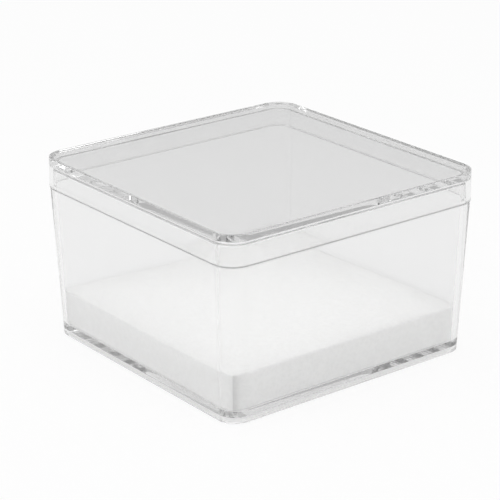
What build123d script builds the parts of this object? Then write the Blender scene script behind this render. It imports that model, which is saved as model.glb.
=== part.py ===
from build123d import *
import os

# Square clear display case: a drafted base, a flush lift-off lid and a loose foam pinning pad.
# Millimetres, +Z up. The origin is the centre of the footprint, on the surface that the foot stands on.

# Overall outline, measured over the lower edge of the lid's skirt, which is the widest place
CASE_WIDTH = 90.0
CASE_HEIGHT = 55.0
CORNER_RADIUS = 7.0

# Lid: a thick flat plate with a thin skirt, open below
LID_HEIGHT = 9.2
LID_PLATE = 2.5
LID_SKIRT = 1.3
LID_LEAN = 0.15
LID_CORE_LEAN = 0.3
LID_TOP_ROUND = 0.5
LID_CORE_ROUND = 0.35
LID_HEM_BEVEL = 0.2

# Seam: the shoulder stands a little inside the skirt, and the rim rises behind the skirt
SEAM_STEP = 0.25
RIM_CLEARANCE = 0.15
RIM_HEADROOM = 0.9
RIM_THICKNESS = 1.25
RIM_LEAD_IN = 0.35
SHOULDER_BEVEL = 0.2

# Base: a wall that widens upwards, a floor plate and a low foot ring under it
FOOT_WIDTH = 85.5
FOOT_CORNER_RADIUS = 5.7
FOOT_HEIGHT = 1.5
FOOT_RING = 1.9
FOOT_ROUND = 0.45
FLOOR_THICKNESS = 1.9
WALL_AT_FLOOR = 1.6
FLOOR_ROUND = 0.25

# Foam pad: a flat sheet cut square, loose on the floor
FOAM_THICKNESS = 10.7
FOAM_CLEARANCE = 0.3

# Heights, a width and a radius that follow from the sizes above
seam_z = CASE_HEIGHT - LID_HEIGHT
ceiling_z = CASE_HEIGHT - LID_PLATE
rim_z = ceiling_z - RIM_HEADROOM
floor_z = FOOT_HEIGHT + FLOOR_THICKNESS
floor_width = FOOT_WIDTH - 2 * WALL_AT_FLOOR
floor_radius = FOOT_CORNER_RADIUS - WALL_AT_FLOOR


def square(width, radius, z):
    """A square outline with round corners, lying at height z."""
    return Plane.XY.offset(z) * RectangleRounded(width, width, radius)


def drafted_block(*outlines):
    """A block whose sides run straight from outline to outline, each (width, radius, height)."""
    return loft([square(*outline) for outline in outlines], ruled=True)


def inset(outline, amount, z):
    """The same outline, drawn in by an amount on every side and placed at height z."""
    width, radius = outline
    return width - 2 * amount, radius - amount, z


def edges_at(block, z):
    """The edges of a block that lie flat at height z."""
    return block.edges().filter_by_position(Axis.Z, z, z)


def lid_core(z):
    """Width and corner radius of the space inside the skirt at height z."""
    inward = LID_SKIRT + LID_CORE_LEAN * (z - seam_z) / (ceiling_z - seam_z)
    return CASE_WIDTH - 2 * inward, CORNER_RADIUS - inward


def make_lid():
    hem = (CASE_WIDTH, CORNER_RADIUS)
    shell = drafted_block(
        inset(hem, LID_HEM_BEVEL, seam_z),
        inset(hem, 0, seam_z + LID_HEM_BEVEL),
        inset(hem, LID_LEAN, CASE_HEIGHT),
    )
    shell = fillet(edges_at(shell, CASE_HEIGHT), LID_TOP_ROUND)
    core = drafted_block(inset(lid_core(seam_z), 0, seam_z), inset(lid_core(ceiling_z), 0, ceiling_z))
    core = fillet(edges_at(core, ceiling_z), LID_CORE_ROUND)
    return shell - core


def make_base():
    foot = (FOOT_WIDTH, FOOT_CORNER_RADIUS)
    shoulder = (CASE_WIDTH - 2 * SEAM_STEP, CORNER_RADIUS - SEAM_STEP)
    body = drafted_block(
        inset(foot, 0, 0),
        inset(shoulder, 0, seam_z - SHOULDER_BEVEL),
        inset(shoulder, SHOULDER_BEVEL, seam_z),
    )
    body = fillet(edges_at(body, 0), FOOT_ROUND)

    rim = drafted_block(
        inset(lid_core(seam_z), RIM_CLEARANCE, seam_z),
        inset(lid_core(rim_z), RIM_CLEARANCE, rim_z - RIM_LEAD_IN),
        inset(lid_core(rim_z), RIM_CLEARANCE + RIM_LEAD_IN, rim_z),
    )
    hollow = drafted_block(
        (floor_width, floor_radius, floor_z),
        inset(lid_core(rim_z), RIM_CLEARANCE + RIM_THICKNESS, rim_z),
    )
    hollow = fillet(edges_at(hollow, floor_z), FLOOR_ROUND)
    recess = drafted_block(inset(foot, FOOT_RING, 0), inset(foot, FOOT_RING, FOOT_HEIGHT))
    return body + rim - hollow - recess


def make_foam_pad():
    pad_width = floor_width - 2 * FOAM_CLEARANCE
    pad_radius = floor_radius - FOAM_CLEARANCE
    return extrude(square(pad_width, pad_radius, floor_z), FOAM_THICKNESS)


os.makedirs("parts", exist_ok=True)
export_step(make_base(), "parts/base.step")
export_step(make_lid(), "parts/lid.step")
export_step(make_foam_pad(), "parts/foam_pad.step")
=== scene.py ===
# Clear insect display case: two glass-clear mouldings and a white foam pad
import bpy
import math
import numpy as np
from mathutils import Matrix, Vector, noise


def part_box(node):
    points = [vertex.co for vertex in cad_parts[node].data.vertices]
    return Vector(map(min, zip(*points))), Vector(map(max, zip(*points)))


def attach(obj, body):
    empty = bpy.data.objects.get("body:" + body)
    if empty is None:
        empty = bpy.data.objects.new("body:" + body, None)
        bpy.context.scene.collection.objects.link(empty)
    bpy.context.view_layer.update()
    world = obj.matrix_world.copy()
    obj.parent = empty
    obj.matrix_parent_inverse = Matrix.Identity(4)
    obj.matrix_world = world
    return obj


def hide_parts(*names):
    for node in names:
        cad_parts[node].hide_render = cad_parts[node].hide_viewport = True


mm = 0.001
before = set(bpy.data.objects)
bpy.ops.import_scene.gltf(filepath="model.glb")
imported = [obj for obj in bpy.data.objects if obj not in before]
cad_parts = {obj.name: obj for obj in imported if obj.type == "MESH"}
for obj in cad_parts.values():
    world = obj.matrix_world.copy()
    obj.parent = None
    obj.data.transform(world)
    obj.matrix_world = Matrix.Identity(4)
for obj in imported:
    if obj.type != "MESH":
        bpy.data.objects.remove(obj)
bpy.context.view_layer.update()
print("frame loaded")


# Shader maths written as Python sums: a socket that knows how to add, multiply and so on
class Signal:
    def __init__(self, tree, socket):
        self.tree = tree
        self.socket = socket

    def math(self, operation, *others, swap=False):
        values = [*others, self] if swap else [self, *others]
        return self.tree.add("ShaderNodeMath", {"operation": operation}, dict(enumerate(values)))

    def __add__(self, other):
        return self.math("ADD", other)

    def __mul__(self, other):
        return self.math("MULTIPLY", other)

    def __sub__(self, other):
        return self.math("SUBTRACT", other)

    def __rsub__(self, other):
        return self.math("SUBTRACT", other, swap=True)

    def __rtruediv__(self, other):
        return self.math("DIVIDE", other, swap=True)

    def atLeast(self, other):
        return self.math("MAXIMUM", other)

    def atMost(self, other):
        return self.math("MINIMUM", other)

    __radd__ = __add__
    __rmul__ = __mul__


# One node tree of any kind, filled through a single add method
class NodeTree:
    def __init__(self, tree):
        self.tree = tree
        self.tree.nodes.clear()

    def add(self, kind, settings=None, inputs=None, output=0):
        node = self.tree.nodes.new(kind)
        for name, value in (settings or {}).items():
            if name == "stops":
                self.setStops(node.color_ramp, value)
            else:
                setattr(node, name, value)
        for key, value in (inputs or {}).items():
            self.feed(node.inputs[key], value)
        if not node.outputs:
            return node
        return Signal(self, node.outputs[output])

    def setStops(self, ramp, stops):
        while len(ramp.elements) < len(stops):
            ramp.elements.new(0.5)
        for element, (position, colour) in zip(ramp.elements, stops):
            element.position = position
            element.color = colour

    def mixColours(self, share, first, second):
        # 0, 6 and 7 are the sockets Factor, A and B of a Mix node that is set to colours
        return self.add("ShaderNodeMix", {"data_type": "RGBA"},
                        {0: share, 6: first, 7: second}, output=2)

    def feed(self, socket, value):
        if isinstance(value, Signal):
            self.tree.links.new(value.socket, socket)
        else:
            socket.default_value = value


def newMaterial(name):
    material = bpy.data.materials.new(name)
    material.use_nodes = True
    return material, NodeTree(material.node_tree)


def newObject(name, data):
    thing = bpy.data.objects.new(name, data)
    bpy.context.scene.collection.objects.link(thing)
    return thing


camera = {
    "turn": -37.78,                  # degrees round the case, 0 looks along +Y
    "lift": 20.71,                   # degrees above the table
    "roll": 0.28,                    # degrees
    "distance": 575.9 * mm,
    "aimAcross": -2.33 * mm,         # where the look crosses the case's axis
    "aimHeight": 28.11 * mm,
    "focalPixels": 1988,
    "imagePixels": 500,
    "sensorWidth": 36,
    "nearest": 10 * mm,
}


def placeCamera(settings):
    turn = math.radians(settings["turn"])
    lift = math.radians(settings["lift"])
    level = Vector((math.cos(turn), math.sin(turn), 0))
    backward = Vector((math.sin(turn) * math.cos(lift),
                       -math.cos(turn) * math.cos(lift),
                       math.sin(lift)))
    aim = level * settings["aimAcross"]
    aim.z = settings["aimHeight"]
    roll = Matrix.Rotation(-math.radians(settings["roll"]), 3, backward)
    right, up = roll @ level, roll @ backward.cross(level)
    data = bpy.data.cameras.new("camera")
    data.sensor_width = settings["sensorWidth"]
    data.lens = settings["focalPixels"] / settings["imagePixels"] * data.sensor_width
    data.clip_start = settings["nearest"]
    body = newObject("camera", data)
    body.matrix_world = Matrix((right, up, backward)).transposed().to_4x4()
    body.location = aim + backward * settings["distance"]
    bpy.context.scene.camera = body


placeCamera(camera)
print("camera placed")


studio = {
    "tableSize": 6.0,
    "tableDrop": 0.02 * mm,             # keeps the table off the foot's lowest faces
    "tableTone": (0.88, 0.88, 0.88, 1),
    "glowSeen": 0.9,                    # share of plain white in the table as the camera sees it
    "glowThrough": 0.55,                # the same as glass and gloss show it
    "diffuseFill": 0.68,                # strength of the sky on matt surfaces
    # greyness of the sky by the height of the look: the lid's top mirrors its grey band
    "sky": [(0.0, 1.0), (0.2, 0.9), (0.29, 0.53), (0.41, 0.56), (0.52, 1.0)],
    "openSide": (-0.61, -0.79, 0.0),    # towards the camera the sky turns white
    "openness": 1.6,                    # how fast it does
    "mostOpen": 0.8,                    # and how far
    "aimHeight": 30 * mm,
    "topLight": {"size": 0.6, "power": 1.0, "at": (-0.05, 0.1, 0.75), "mirrored": True},
    "leftLight": {"size": 0.4, "power": 1.0, "at": (-0.6, 0.2, 0.27), "mirrored": False},
    "rightLight": {"size": 0.4, "power": 0.88, "at": (0.2, -0.6, 0.27), "mirrored": False},
    "bounces": 128,                     # light travels far along the clear plates
    "clearBounces": 64,
}


def buildWorld(settings):
    world = bpy.data.worlds.new("studio")
    world.use_nodes = True
    bpy.context.scene.world = world
    tree = NodeTree(world.node_tree)
    look = tree.add("ShaderNodeTexCoord")
    height = tree.add("ShaderNodeSeparateXYZ", None, {0: look}, output="Z")
    stops = [(place, (tone, tone, tone, 1)) for place, tone in settings["sky"]]
    grey = tree.add("ShaderNodeValToRGB", {"stops": stops}, {0: height})
    toFront = tree.add("ShaderNodeVectorMath", {"operation": "DOT_PRODUCT"},
                       {0: look, 1: settings["openSide"]}, output="Value")
    nearShare = (toFront * settings["openness"]).atLeast(0.0).atMost(settings["mostOpen"])
    grey = grey + (1 - grey) * nearShare
    path = tree.add("ShaderNodeLightPath", None, None, output="Is Diffuse Ray")
    strength = path * settings["diffuseFill"] + (1 - path) * grey
    light = tree.add("ShaderNodeBackground", None, {"Color": (1, 1, 1, 1), "Strength": strength})
    tree.add("ShaderNodeOutputWorld", None, {"Surface": light})


def buildTable(settings):
    half = settings["tableSize"] / 2
    mesh = bpy.data.meshes.new("table")
    corners = [(-half, -half, 0), (half, -half, 0), (half, half, 0), (-half, half, 0)]
    mesh.from_pydata(corners, [], [(0, 1, 2, 3)])
    table = newObject("table", mesh)
    table.location.z = -settings["tableDrop"]
    material, tree = newMaterial("whiteTable")
    cameraRay, glossyRay, throughRay = (
        tree.add("ShaderNodeLightPath", None, None, output=f"Is {ray} Ray")
        for ray in ("Camera", "Glossy", "Transmission"))
    bent = (glossyRay + throughRay).atMost(1.0) * settings["glowThrough"]
    seen = (cameraRay * settings["glowSeen"]).atLeast(bent)
    paint = tree.add("ShaderNodeBsdfDiffuse", None, {"Color": settings["tableTone"]})
    glow = tree.add("ShaderNodeEmission", None, {"Color": (1, 1, 1, 1)})
    mixed = tree.add("ShaderNodeMixShader", None, {0: seen, 1: paint, 2: glow})
    tree.add("ShaderNodeOutputMaterial", None, {"Surface": mixed})
    mesh.materials.append(material)


def addPanel(name, settings):
    lamp = settings[name]
    data = bpy.data.lights.new(name, "AREA")
    data.size = lamp["size"]
    data.energy = lamp["power"]
    panel = newObject(name, data)
    place = Vector(lamp["at"])
    aim = Vector((0, 0, settings["aimHeight"]))
    panel.location = place
    panel.rotation_euler = (place - aim).to_track_quat("Z", "Y").to_euler()
    panel.visible_glossy = lamp["mirrored"]


buildWorld(studio)
buildTable(studio)
for lampName in ("topLight", "leftLight", "rightLight"):
    addPanel(lampName, studio)
scene = bpy.context.scene
scene.view_settings.view_transform = "Standard"
scene.cycles.max_bounces = studio["bounces"]
scene.cycles.transmission_bounces = studio["bounces"]
scene.cycles.glossy_bounces = studio["bounces"]
scene.cycles.transparent_max_bounces = studio["clearBounces"]
print("stage and lights ready")


clearPlastic = {
    "tint": (0.96, 0.96, 0.96, 1),
    "ior": 1.59,
    "roughness": 0.0,
    "shadowTint": (0.975, 0.975, 0.975, 1),
    "waves": 22.0,                   # per metre, the slow unevenness of a moulded plate
    "waveDepth": 0.002 * mm,
    "hazeTone": (0.5, 0.5, 0.5, 1),
    "haze": 4.4,                     # per metre, how fast the plastic takes on that tone
}


# The parting edges at the seam are ground, so they scatter light; their darker grey tint is painted
# shade along the seam
groundEdgeAndShade = dict(clearPlastic, tint=(0.7, 0.7, 0.7, 1), roughness=0.3)


def makeClearPlastic(name, settings):
    material, tree = newMaterial(name)
    place = tree.add("ShaderNodeTexCoord", None, None, output="Object")
    wave = tree.add("ShaderNodeTexNoise", None,
                    {"Vector": place, "Scale": settings["waves"], "Detail": 1.0})
    flow = tree.add("ShaderNodeBump", None,
                    {"Strength": 1.0, "Distance": settings["waveDepth"], "Height": wave})
    glass = tree.add("ShaderNodeBsdfPrincipled", None, {
        "Base Color": settings["tint"], "Roughness": settings["roughness"],
        "IOR": settings["ior"], "Transmission Weight": 1.0, "Normal": flow})
    letThrough = tree.add("ShaderNodeBsdfTransparent", None, {"Color": settings["shadowTint"]})
    shadow = tree.add("ShaderNodeLightPath", None, None, output="Is Shadow Ray")
    mixed = tree.add("ShaderNodeMixShader", None, {0: shadow, 1: glass, 2: letThrough})
    haze = tree.add("ShaderNodeVolumeAbsorption", None,
                    {"Color": settings["hazeTone"], "Density": settings["haze"]})
    tree.add("ShaderNodeOutputMaterial", None, {"Surface": mixed, "Volume": haze})
    return material


whiteFoam = {
    "tone": (0.9, 0.9, 0.895, 1),
    # painted shade: the hollows of the foam's cells are darker than its tone
    "paintedPitShade": (0.85, 0.85, 0.845, 1),
    "cellSize": 1.1 * mm,
    "cellSpread": 1.4,       # above 1, the cells' middles run together
    "cellDepth": 0.15 * mm,
    "cellRelief": 0.25,      # strength of the cells' relief
    "roughness": 0.85,
    "paintedShadeStrength": 0.36,     # how dark the painted shade is on each side next to the corner where it starts
}


def makeWhiteFoam(settings):
    material, tree = newMaterial("whiteFoam")
    place = tree.add("ShaderNodeTexCoord", None, None, output="Object")
    cells = tree.add("ShaderNodeTexVoronoi", None, {
        "Vector": place, "Scale": 1 / settings["cellSize"], "Randomness": 1.0}, output="Distance")
    depth = (cells * settings["cellSpread"]).atMost(1.0)
    # Painted shade on the pad's sides beside each corner, read from a point attribute
    cut = tree.add("ShaderNodeAttribute", {"attribute_name": "cutShade"}, None, output="Fac")
    # The cells' hollows get the painted shade colour, their rims the foam's tone
    colour = tree.mixColours(depth, settings["paintedPitShade"], settings["tone"])
    colour = tree.mixColours(cut * settings["paintedShadeStrength"], colour, (0, 0, 0, 1))
    relief = tree.add("ShaderNodeBump", None, {
        "Strength": settings["cellRelief"], "Distance": settings["cellDepth"], "Height": depth})
    foam = tree.add("ShaderNodeBsdfPrincipled", None, {
        "Base Color": colour, "Roughness": settings["roughness"], "Normal": relief})
    tree.add("ShaderNodeOutputMaterial", None, {"Surface": foam})
    return material


plasticMaterial = makeClearPlastic("clearPlastic", clearPlastic)
groundAndShadeMaterial = makeClearPlastic("groundEdgeAndShade", groundEdgeAndShade)
foamMaterial = makeWhiteFoam(whiteFoam)
print("materials ready")


# Air between faces that rest on each other, so that light crosses them one by one
seatGap = 0.03 * mm


# A moulding is a section swept round a square with round corners
sweep = {
    "cornerSteps": 48,
    "roundSteps": 14,
    "supportGap": 0.12 * mm,     # extra points beside each rounding keep the flat faces flat
    "weld": 0.001 * mm,
}


def makeSweepTree():
    group = bpy.data.node_groups.new("squareSweep", "GeometryNodeTree")
    inputs = {"Section": "Geometry", "Corner Steps": "Int", "Support Gap": "Float",
              "Weld Distance": "Float", "Material": "Material"}
    for name, kind in inputs.items():
        group.interface.new_socket(name, in_out="INPUT", socket_type="NodeSocket" + kind)
    group.interface.new_socket("Moulding", in_out="OUTPUT", socket_type="NodeSocketGeometry")
    tree = NodeTree(group)
    section = tree.add("NodeGroupInput", None, None, "Section")
    given = section.socket.node.outputs
    steps = Signal(tree, given["Corner Steps"])
    gap = Signal(tree, given["Support Gap"])

    rows = tree.add("GeometryNodeAttributeDomainSize", {"component": "MESH"}, {"Geometry": section})
    perCorner = steps + 3                      # the arc's points and a support point at each end
    grid = tree.add("GeometryNodeMeshGrid", None, {
        "Size X": 1.0, "Size Y": 1.0, "Vertices X": perCorner * 4 + 1, "Vertices Y": rows})
    index = tree.add("GeometryNodeInputIndex")
    nudge = 0.0001                             # keeps whole numbers from rounding down
    slideShare = 0.2                           # of the half width, so that the ends meet on the axis
    column = (index * (1 / rows) + nudge).math("FLOOR")
    row = index - column * rows
    corner = (column * (1 / perCorner) + nudge).math("FLOOR")
    along = column - corner * perCorner - 1    # counts along one corner, from its first support point
    onArc = along.atLeast(0.0).atMost(steps)
    beyond = along - onArc
    angle = (corner + onArc * (1 / steps)) * (math.pi / 2)
    middle = (corner + 0.5) * (math.pi / 2)

    spot = tree.add("GeometryNodeInputPosition")
    taken = tree.add("GeometryNodeSampleIndex", {"data_type": "FLOAT_VECTOR"},
                     {"Geometry": section, "Value": spot, "Index": row})
    half = tree.add("ShaderNodeSeparateXYZ", None, {0: taken})
    radius = Signal(tree, half.socket.node.outputs["Y"])
    height = Signal(tree, half.socket.node.outputs["Z"])
    slide = beyond * gap.atMost(half * slideShare)      # support points lie on the straight sides
    centre = half - radius
    cosine, sine = angle.math("COSINE"), angle.math("SINE")
    x = centre * middle.math("COSINE").math("SIGN") + radius * cosine - slide * sine
    y = centre * middle.math("SINE").math("SIGN") + radius * sine + slide * cosine
    target = tree.add("ShaderNodeCombineXYZ", None, {"X": x, "Y": y, "Z": height})

    placed = tree.add("GeometryNodeSetPosition", None, {"Geometry": grid, "Position": target})
    welded = tree.add("GeometryNodeMergeByDistance", None,
                      {"Geometry": placed, "Distance": Signal(tree, given["Weld Distance"])})
    smooth = tree.add("GeometryNodeSetShadeSmooth", None, {"Geometry": welded})
    real = tree.add("GeometryNodeRealizeInstances", None, {"Geometry": smooth})
    painted = tree.add("GeometryNodeSetMaterial", None,
                       {"Geometry": real, "Material": Signal(tree, given["Material"])})
    tree.add("NodeGroupOutput", None, {"Moulding": painted})
    return group


def sectionRows(corners, roundSteps, supportGap):
    # Each corner is (half width, plan radius, height, rounding); the first and last lie on the axis
    enough = 4 * supportGap                    # shorter sides get no support points
    rows = [(0.0, 0.0, corners[0][2])]
    for before, here, after in zip(corners, corners[1:], corners[2:]):
        point = np.array([here[0], here[2]])
        toBefore = np.array([before[0], before[2]]) - point
        toAfter = np.array([after[0], after[2]]) - point
        freeBefore = np.linalg.norm(toBefore)
        freeAfter = np.linalg.norm(toAfter)
        toBefore = toBefore / freeBefore
        toAfter = toAfter / freeAfter
        opening = math.acos(max(-1.0, min(1.0, float(toBefore @ toAfter))))
        reach = here[3] / math.tan(opening / 2)
        bisector = (toBefore + toAfter) / np.linalg.norm(toBefore + toAfter)
        centre = point + bisector * here[3] / math.sin(opening / 2)
        first = point + toBefore * reach - centre
        last = point + toAfter * reach - centre
        turn = math.atan2(first[0] * last[1] - first[1] * last[0], float(first @ last))
        run = [point + toBefore * (reach + supportGap)] if freeBefore > enough else []
        for step in range(roundSteps + 1):
            angle = turn * step / roundSteps
            cosine, sine = math.cos(angle), math.sin(angle)
            spoke = (cosine * first[0] - sine * first[1], sine * first[0] + cosine * first[1])
            run.append(centre + np.array(spoke))
        if freeAfter > enough:
            run.append(point + toAfter * (reach + supportGap))
        for half, height in run:
            rows.append((half, here[1] + half - here[0], height))
    rows.append((0.0, 0.0, corners[-1][2]))
    return rows


def sweptMoulding(name, corners, material, tree, settings):
    rows = sectionRows(corners, settings["roundSteps"], settings["supportGap"])
    mesh = bpy.data.meshes.new(name + "Section")
    mesh.from_pydata(rows, [(i, i + 1) for i in range(len(rows) - 1)], [])
    carrier = newObject(name + "Section", mesh)
    modifier = carrier.modifiers.new("sweep", "NODES")
    modifier.node_group = tree
    values = {"Corner Steps": settings["cornerSteps"], "Support Gap": settings["supportGap"],
              "Weld Distance": settings["weld"], "Material": material}
    for item in tree.interface.items_tree:
        if item.in_out == "INPUT" and item.name in values:
            modifier[item.identifier] = values[item.name]
    graph = bpy.context.evaluated_depsgraph_get()
    result = bpy.data.meshes.new_from_object(carrier.evaluated_get(graph))
    bpy.data.objects.remove(carrier)
    result.name = name
    faceOutwards(result)
    print(name, "swept,", len(result.polygons), "faces")
    return newObject(name, result)


def paintBand(piece, low, high, material):
    # Gives the sloping faces between two heights a material of their own, such as the ground edge
    # with its painted seam shade
    mesh = piece.data
    mesh.materials.append(material)
    for polygon in mesh.polygons:
        if low < polygon.center.z < high:
            polygon.material_index = len(mesh.materials) - 1


def faceOutwards(mesh):
    mesh.calc_loop_triangles()
    volume = 0.0
    for triangle in mesh.loop_triangles:
        a, b, c = (mesh.vertices[i].co for i in triangle.vertices)
        volume += a.dot(b.cross(c))
    if volume < 0:
        mesh.flip_normals()


sweepTree = makeSweepTree()
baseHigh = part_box("base")[1]
lidLow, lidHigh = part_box("lid")
padLow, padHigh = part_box("foam_pad")

lid = {
    "plate": 2.5 * mm,
    "skirt": 1.3 * mm,           # at the hem
    "radius": 7.0 * mm,
    "lean": 0.15 * mm,           # the skirt narrows by this towards the top
    "coreLean": 0.3 * mm,        # and the space inside it by this
    "topRound": 0.25 * mm,
    "coreRound": 0.35 * mm,
    "hemBevel": 0.2 * mm,
    "hemRound": 0.03 * mm,
}


def makeLid(settings, material):
    half = lidHigh.x
    top, hem = lidHigh.z, lidLow.z + seatGap
    radius = settings["radius"]
    lean = settings["lean"]
    skirt = settings["skirt"]
    core = skirt + settings["coreLean"]
    bevel, small = settings["hemBevel"], settings["hemRound"]
    corners = [
        (0, 0, top, 0),
        (half - lean, radius - lean, top, settings["topRound"]),
        (half, radius, hem + bevel, small),
        (half - bevel, radius - bevel, hem, small),
        (half - skirt, radius - skirt, hem, small),
        (half - core, radius - core, top - settings["plate"], settings["coreRound"]),
        (0, 0, top - settings["plate"], 0),
    ]
    return sweptMoulding("lidMoulding", corners, material, sweepTree, sweep)


base = {
    "footHalf": 42.75 * mm,
    "footRadius": 5.7 * mm,
    "footRing": 1.9 * mm,
    "footHeight": 1.5 * mm,
    "footRound": 0.45 * mm,
    "wallAtFloor": 1.6 * mm,
    "floorRound": 0.25 * mm,
    "seamStep": 0.25 * mm,       # the shoulder stands this far inside the lid's hem
    "shoulderRound": 0.1 * mm,
    "rimRootRound": 0.05 * mm,
    "rimClearance": 0.15 * mm,
    "rimThickness": 1.25 * mm,
    "rimLeadIn": 0.3 * mm,
}


def makeBase(settings, lidSettings, material):
    seam, rimTop, floor = lidLow.z, baseHigh.z, padLow.z
    foot, footRadius = settings["footHalf"], settings["footRadius"]
    ring = settings["footRing"]
    shoulder = lidHigh.x - settings["seamStep"]
    shoulderRadius = lidSettings["radius"] - settings["seamStep"]
    rimRoot = lidSettings["skirt"] + settings["rimClearance"]
    rise = (rimTop - seam) / (lidHigh.z - lidSettings["plate"] - seam)
    rimHead = rimRoot + lidSettings["coreLean"] * rise
    mouth = rimHead + settings["rimThickness"]
    wide, lidRadius = lidHigh.x, lidSettings["radius"]
    wall = settings["wallAtFloor"]
    small = settings["shoulderRound"]
    corners = [
        (0, 0, settings["footHeight"], 0),
        (foot - ring, footRadius - ring, settings["footHeight"], small),
        (foot - ring, footRadius - ring, 0, small),
        (foot, footRadius, 0, settings["footRound"]),
        (shoulder, shoulderRadius, seam, small),
        (wide - rimRoot, lidRadius - rimRoot, seam, settings["rimRootRound"]),
        (wide - rimHead, lidRadius - rimHead, rimTop, settings["rimLeadIn"]),
        (wide - mouth, lidRadius - mouth, rimTop, small),
        (foot - wall, footRadius - wall, floor, settings["floorRound"]),
        (0, 0, floor, 0),
    ]
    return sweptMoulding("baseMoulding", corners, material, sweepTree, sweep)


edgeBand = 0.02 * mm         # the ground edge band, tinted with painted shade, reaches this far beyond its bevel
levelGap = 0.001 * mm        # and leaves out the level faces beside it
hemLevel = lidLow.z + seatGap
lidPiece = makeLid(lid, plasticMaterial)
# The seam bands of lid and base are ground and carry painted shade in their grey tint
paintBand(lidPiece, hemLevel + levelGap, hemLevel + lid["hemBevel"] + edgeBand, groundAndShadeMaterial)
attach(lidPiece, "lid")
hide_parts("lid")
basePiece = makeBase(base, lid, plasticMaterial)
paintBand(basePiece, lidLow.z - base["shoulderRound"] - edgeBand, lidLow.z - levelGap, groundAndShadeMaterial)
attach(basePiece, "base")
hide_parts("base")


# The foam pad is one sheet cut square, its edges softened and a little uneven
foam = {
    "divisions": 96,             # across the pad
    "divisionsHigh": 20,
    "cornerRadius": 2.6 * mm,
    "edgeRound": 0.5 * mm,
    "sideRoom": 0.25 * mm,       # kept free for the unevenness inside the pad's place
    "sway": 0.04 * mm,           # slow unevenness
    "swaySize": 14.0 * mm,
    "swayUp": 0.8,               # share of the sway in the pad's height
    "seed": 5,                   # without one the sway changes from run to run
    "grain": 0.007 * mm,         # fine unevenness
    "grainSize": 1.1 * mm,
    "grainStart": (7, 3, 5),     # reads the grain elsewhere in the noise than the sway
    "sideFade": 8,               # powers: the unevenness fades from the sides inwards
    "topFade": 6,                # and from the top downwards
    "paintedShadeReach": 1.7 * mm,      # of the painted shade beside a corner
}


def slabSurface(divisions, divisionsHigh):
    # Every lattice point on the surface of a block, and the four-sided faces between them
    numbers = {}
    points = []

    def number(i, j, k):
        key = (i, j, k)
        if key not in numbers:
            numbers[key] = len(points)
            points.append(key)
        return numbers[key]

    faces = []
    ring = ((0, 0), (1, 0), (1, 1), (0, 1))
    for i in range(divisions):
        for j in range(divisions):
            for k, flip in ((0, True), (divisionsHigh, False)):
                quad = [number(i + a, j + b, k) for a, b in ring]
                faces.append(quad[::-1] if flip else quad)
    for i in range(divisions):
        for k in range(divisionsHigh):
            for side, flip in ((0, False), (divisions, True)):
                across = [number(i + a, side, k + b) for a, b in ring]
                faces.append(across[::-1] if flip else across)
                deep = [number(side, i + b, k + a) for a, b in ring]
                faces.append(deep[::-1] if flip else deep)
    return np.array(points, float), faces


def gathered(share):
    # Runs from -1 to 1 with the divisions drawn together towards both ends
    return (3 * share - share ** 3) / 2


def softened(points, half, halfHigh, cornerRadius, edgeRound):
    # Rounds the four upright corners, then the edges round the top and the bottom
    tiny = 1e-12                 # keeps a length of nothing from dividing
    flat = points[:, :2]
    inner = np.clip(flat, cornerRadius - half, half - cornerRadius)
    away = flat - inner
    square = np.abs(away).max(axis=1)
    length = np.linalg.norm(away, axis=1)
    both = (np.abs(away) > 0).all(axis=1)
    scale = np.where(both, square / np.maximum(length, tiny), 1.0)
    away = away * scale[:, None]
    reach = np.linalg.norm(away, axis=1)
    outward = away / np.maximum(reach, tiny)[:, None]
    height = np.abs(points[:, 2])
    pastSide = np.clip(edgeRound - cornerRadius + reach, 0, None)
    pastFace = np.clip(edgeRound - halfHigh + height, 0, None)
    squeeze = np.maximum(pastSide, pastFace) / np.maximum(np.hypot(pastSide, pastFace), tiny)
    squeeze = np.where((pastSide > 0) & (pastFace > 0), squeeze, 1.0)
    reach = reach - pastSide * (1 - squeeze)
    height = np.sign(points[:, 2]) * (height - pastFace * (1 - squeeze))
    return np.column_stack((inner + outward * reach[:, None], height))


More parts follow.
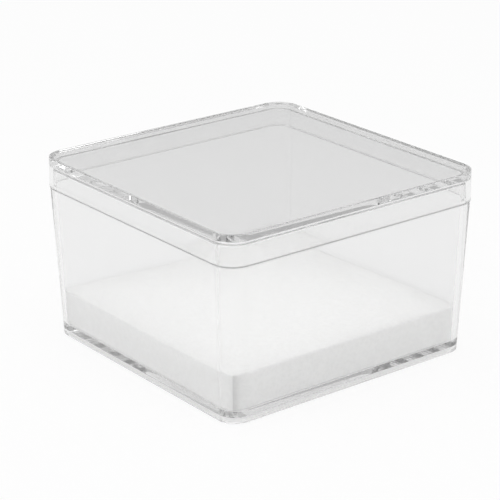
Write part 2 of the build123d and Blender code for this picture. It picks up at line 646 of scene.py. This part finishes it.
def cutShade(points, onSide, half, reach):
    # Painted shade: each side of the pad is darker towards its left end, next to a corner, fading
    # away from it
    across, deep = points[:, 0], points[:, 1]
    leftEnd = (across * deep > 0) == (np.abs(deep) > np.abs(across))
    fromEnd = half - np.minimum(np.abs(across), np.abs(deep))
    return np.where(onSide & leftEnd, np.exp(-fromEnd / reach), 0.0)


def makeFoam(settings, material):
    half = padHigh.x - settings["sideRoom"]
    halfHigh = (padHigh.z - padLow.z - seatGap) / 2
    middle = (padHigh.z + padLow.z + seatGap) / 2
    divisions, divisionsHigh = settings["divisions"], settings["divisionsHigh"]
    lattice, faces = slabSurface(divisions, divisionsHigh)
    share = lattice / (divisions, divisions, divisionsHigh) * 2 - 1
    points = gathered(share) * (half, half, halfHigh)
    points = softened(points, half, halfHigh, settings["cornerRadius"], settings["edgeRound"])
    noise.seed_set(settings["seed"])
    start = Vector(settings["grainStart"])
    for point in points:
        spot = Vector(point)
        slow = noise.noise_vector(spot / settings["swaySize"]) * settings["sway"]
        fine = noise.noise(spot / settings["grainSize"] + start) * settings["grain"]
        rise = (point[2] + halfHigh) / (2 * halfHigh)      # the underside stays flat on the floor
        across, deep = point[0] / half, point[1] / half
        sideways = max(abs(across), abs(deep)) ** settings["sideFade"]
        point[0] += (slow.x * rise + fine * across) * sideways
        point[1] += (slow.y * rise + fine * deep) * sideways
        upwards = slow.z * settings["swayUp"] + fine - settings["grain"]
        point[2] += upwards * rise ** settings["topFade"]
    points[:, 2] = np.minimum(points[:, 2], halfHigh) + middle
    points[:, :2] = np.clip(points[:, :2], -padHigh.x, padHigh.x)      # never past the pad's place
    mesh = bpy.data.meshes.new("foamPad")
    mesh.from_pydata(points.tolist(), [], faces)
    mesh.materials.append(material)
    # Painted shade: a point attribute that darkens each side next to a corner
    shade = mesh.attributes.new("cutShade", "FLOAT", "POINT")
    onSide = lattice[:, 2] < divisionsHigh
    shade.data.foreach_set("value", cutShade(points, onSide, half, settings["paintedShadeReach"]))
    mesh.shade_smooth()
    faceOutwards(mesh)
    print("foam pad cut,", len(faces), "faces")
    return newObject("foamPad", mesh)


foamPiece = makeFoam(foam, foamMaterial)
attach(foamPiece, "foam_pad")
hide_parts("foam_pad")
